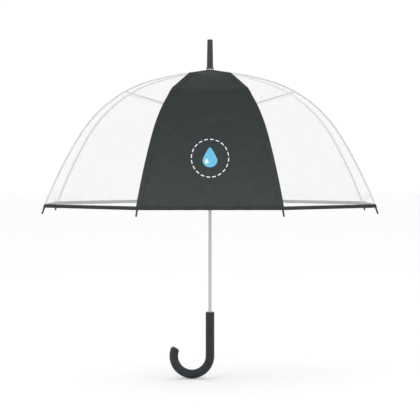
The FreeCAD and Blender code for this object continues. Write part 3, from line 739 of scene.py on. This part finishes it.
def make_print():
    """A plain printed raindrop in a ring of short strokes, in the middle of the dark panel."""
    around = 48
    glint_above = -DROP_SINK - GLINT_SINK
    for name, scale, beside, above, lift, material in (
        ("print_drop", 1.0, 0.0, -DROP_SINK, PRINT_LIFT, PRINT_BLUE),
        ("print_glint", GLINT_SCALE, GLINT_ASIDE, glint_above, GLINT_LIFT, PRINT_WHITE),
    ):
        points = [print_point(beside, above, lift)]
        for step in range(around):
            angle = turn_at(step, around)
            upper = max(0.0, math.cos(angle))
            half_width = DROP_HALF_WIDTH * scale * (1 - DROP_TAPER * upper)
            height = DROP_HEIGHT * scale * (DROP_TIP if upper else 1)
            aside, up = half_width * math.sin(angle), height * math.cos(angle)
            points.append(print_point(beside + aside, above + up, lift))
        faces = [(0, 1 + step, 1 + (step + 1) % around) for step in range(around)]
        finish_print(add_mesh(name, points, faces, material))
    steps = 8
    points = []
    faces = []
    for stroke in range(RING_STROKES):
        for step in range(steps + 1):
            angle = turn_at(stroke + STROKE_SHARE * step / steps, RING_STROKES)
            for radius in (RING_RADIUS - RING_HALF_WIDTH, RING_RADIUS + RING_HALF_WIDTH):
                aside, up = radius * math.sin(angle), radius * math.cos(angle)
                points.append(print_point(aside, up, PRINT_LIFT))
            if step:
                last = len(points)
                faces.append((last - 4, last - 3, last - 1, last - 2))
    finish_print(add_mesh("print_ring", points, faces, PRINT_WHITE))


def finish_print(piece):
    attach(piece, f"panel_skirt_{DARK_PANEL}")
    fold_with_runner(piece)


def print_point(aside, up, lift):
    """A point of the print, beside and above its centre, lifted off the dark panel."""
    distance = PRINT_CENTRE - up * PRINT_STRETCH
    return film_point(DARK_PANEL, aside / half_width_at(distance), distance, lift)


def make_tip_thread(number):
    """Three turns of thread that tie the hem to a tip cap."""
    azimuth = rib_azimuth(number)
    x, z, slope = meridian_point(LENGTH)
    along = outward(azimuth) * math.cos(slope) - Vector((0, 0, math.sin(slope)))
    normal = outward(azimuth) * math.sin(slope) + Vector((0, 0, math.cos(slope)))
    side = sideways(azimuth)
    below_film, start, pitch, radius, thread_radius = 0.00265, 0.0012, 0.00055, 0.0023, 0.00026
    centre = outward(azimuth) * x + Vector((0, 0, z)) - normal * below_film
    turns, steps = 3, 20
    path = []
    for index in range(turns * steps + 1):
        angle = turn_at(index, steps)
        place = centre + along * (start + pitch * index / steps)
        path.append(place + (side * math.cos(angle) + normal * math.sin(angle)) * radius)
    piece = tube(f"tip_thread_{number}", path, thread_radius, THREAD, sides=6)
    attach(piece, f"lower_rib_{number}")


def make_tie_strap():
    """The closing strap, folded flat on the back panel, with a press stud."""
    low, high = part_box("tie_strap")
    half_length = (high.x - low.x) / 2
    centre_down = STRAP_DOWN - STRAP_WIDTH / 2
    stations, rows = 61, 7
    points = []
    for face in (1, -1):
        for station in range(stations):
            side = -1 + 2 * station / (stations - 1)
            near_end = max(0.0, abs(side) - STRAP_TAPER_START) / (1 - STRAP_TAPER_START)
            taper = 1 - STRAP_TAPER * near_end
            for row in range(rows):
                v = -1 + 2 * row / (rows - 1)
                down = centre_down + v * STRAP_WIDTH / 2 * taper
                bulge = STRAP_BULGE * math.cos(3 * math.pi * side) * math.cos(math.pi * v / 2)
                wall = STRAP_THICKNESS / 2 * (1 + face * (1 - 0.5 * v ** 8))
                points.append(strap_point(side * half_length, down, STRAP_OUT + wall + bulge))
    count = stations * rows
    faces = grid_faces(stations, rows)
    back = [tuple(index + count for index in reversed(face)) for face in grid_faces(stations, rows)]
    rim = []
    for station in range(stations - 1):
        for row in (0, rows - 1):
            a = station * rows + row
            b = a + rows
            rim.append((a, b, b + count, a + count) if row else (b, a, a + count, b + count))
    for row in range(rows - 1):
        for station in (0, stations - 1):
            a = station * rows + row
            b = a + 1
            rim.append((b, a, a + count, b + count) if station else (a, b, b + count, a + count))
    strap = add_mesh("strap_band", points, faces + back + rim, TAPE_CLOTH)
    stud = make_stud(half_length * STUD_PLACE, centre_down)
    for piece, slot in ((strap, "dark_tape"), (stud, "spring_steel")):
        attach(piece, f"panel_skirt_{STRAP_PANEL}")
        fold_with_runner(piece)
    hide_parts("tie_strap")


def strap_point(aside, down, out):
    """A point by the back panel's hem, aside from its middle, down the film and out of it."""
    base = hem_point(STRAP_PANEL, 0.0, down, out)
    return base + sideways(panel_azimuth(STRAP_PANEL)) * aside


def make_stud(aside, down):
    """A domed press stud on the strap."""
    around = 28
    points = []
    for radius, height in STUD_SECTION:
        for step in range(around):
            angle = turn_at(step, around)
            beside, below = radius * math.cos(angle), radius * math.sin(angle)
            points.append(strap_point(aside + beside, down + below, STUD_OUT + height))
    faces = grid_faces(len(STUD_SECTION), around, closed=True)
    return add_mesh("strap_stud", points, faces, SPRING_METAL)


# ---- handle and runner ----------------------------------------------------------------


def build_handle():
    """Sweep the handle's cover from its rolled rim to the soft dome of its end face."""
    low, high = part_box("handle_grip")
    radius = (high.y - low.y) / 2
    straight = high.z - (low.z + HOOK_RADIUS + radius)
    sides = 56

    def path_at(length):
        """Centre, and the direction outwards in the hook's plane, a length down the path."""
        if length <= straight:
            return Vector((0, 0, high.z - length)), Vector((1, 0, 0))
        angle = (length - straight) / HOOK_RADIUS
        across = Vector((math.cos(angle), 0, -math.sin(angle)))
        return Vector((-HOOK_RADIUS, 0, high.z - straight)) + across * HOOK_RADIUS, across

    total = straight + HOOK_RADIUS * HOOK_TURN
    stations = list(HANDLE_RIM)
    steps = 150
    first, last = HANDLE_RIM[-1][0], total - HOOK_ROUNDING
    stations += [(first + (last - first) * step / steps, 0.0) for step in range(1, steps + 1)]
    for step in range(1, 11):
        lean = math.pi / 2 * step / 10
        along, inset = HOOK_ROUNDING * math.sin(lean), HOOK_ROUNDING * (1 - math.cos(lean))
        stations.append((last + along, inset))
    stations += [(total, inset) for inset in HANDLE_END_INSETS]
    points = []
    for length, inset in stations:
        centre, across = path_at(length)
        for side in range(sides):
            angle = turn_at(side, sides)
            direction = across * math.cos(angle) + Vector((0, 1, 0)) * math.sin(angle)
            points.append(centre + direction * (radius - inset))
    faces = grid_faces(len(stations), sides, closed=True)
    faces.append(tuple((len(stations) - 1) * sides + side for side in range(sides)))
    cover = add_mesh("handle_cover", points, faces, RUBBER)
    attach(cover, "shaft")
    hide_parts("handle_grip")


def make_runner_wire():
    """The ring wire that the stretchers' eyes hang on, in the runner's slotted ring."""
    _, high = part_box("runner")
    below_top, ring_radius, wire_radius = 0.0045, 0.0105, 0.00055
    path = circle_path(Vector((0, 0, high.z - below_top)), ring_radius, 72)
    piece = tube("runner_wire", path, wire_radius, SPRING_METAL, sides=8, closed=True)
    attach(piece, "runner")


# ---- stage ----------------------------------------------------------------------------


def make_stage():
    """A plain pale floor."""
    paint = Nodes("floor_paint")
    paint.paint(paint.colours(paint.noise(3, 2), (0.95, 0.95, 0.95), (0.965, 0.965, 0.965)))
    paint.set(Roughness=0.9, Specular_IOR_Level=0.1)
    around = 64
    ring = circle_path(Vector((0, 0, FLOOR_HEIGHT)), FLOOR_RADIUS, around)
    floor = add_mesh("floor", ring, [tuple(range(around))], paint.material)


def add_light(name, place, width, power):
    """A round soft light that faces the umbrella's middle."""
    data = bpy.data.lights.new(name, "AREA")
    data.shape = "DISK"
    data.size = width
    data.energy = power
    light = bpy.data.objects.new(name, data)
    light.location = place
    towards = Vector(LIGHT_TARGET) - Vector(place)
    light.rotation_euler = towards.to_track_quat("-Z", "Y").to_euler()
    bpy.context.scene.collection.objects.link(light)


def make_lights():
    """A white surround, and three lights that shape the cloth and metal."""
    for light in LIGHTS:
        add_light(*light)
    world = bpy.data.worlds.new("studio")
    world.use_nodes = True
    background = world.node_tree.nodes["Background"]
    background.inputs["Color"].default_value = (1, 1, 1, 1)
    background.inputs["Strength"].default_value = SURROUND_STRENGTH
    bpy.context.scene.world = world
    bpy.context.scene.view_settings.view_transform = "Standard"


def make_camera():
    """A long lens level with the canopy's lower half, tilted slightly down."""
    data = bpy.data.cameras.new("camera")
    data.sensor_width = 36
    data.lens = CAMERA_LENS
    data.clip_end = 50
    camera = bpy.data.objects.new("camera", data)
    camera.location = CAMERA_PLACE
    camera.rotation_euler = (math.pi / 2 - CAMERA_TILT_DOWN, 0, 0)
    bpy.context.scene.collection.objects.link(camera)
    bpy.context.scene.camera = camera


make_camera()
make_stage()
make_lights()
dress_nodes()
for panel in range(1, RIB_COUNT + 1):
    make_gore_half(panel, "upper", START_DISTANCE, JOINT_DISTANCE, 34, "panel")
    hem = make_hem(panel)
    make_gore_half(panel, "lower", JOINT_DISTANCE, LENGTH, 52, "panel_skirt")
    make_seam(panel)
    make_tip_thread(panel)
make_crown_patch()
make_print()
make_tie_strap()
build_handle()
make_runner_wire()
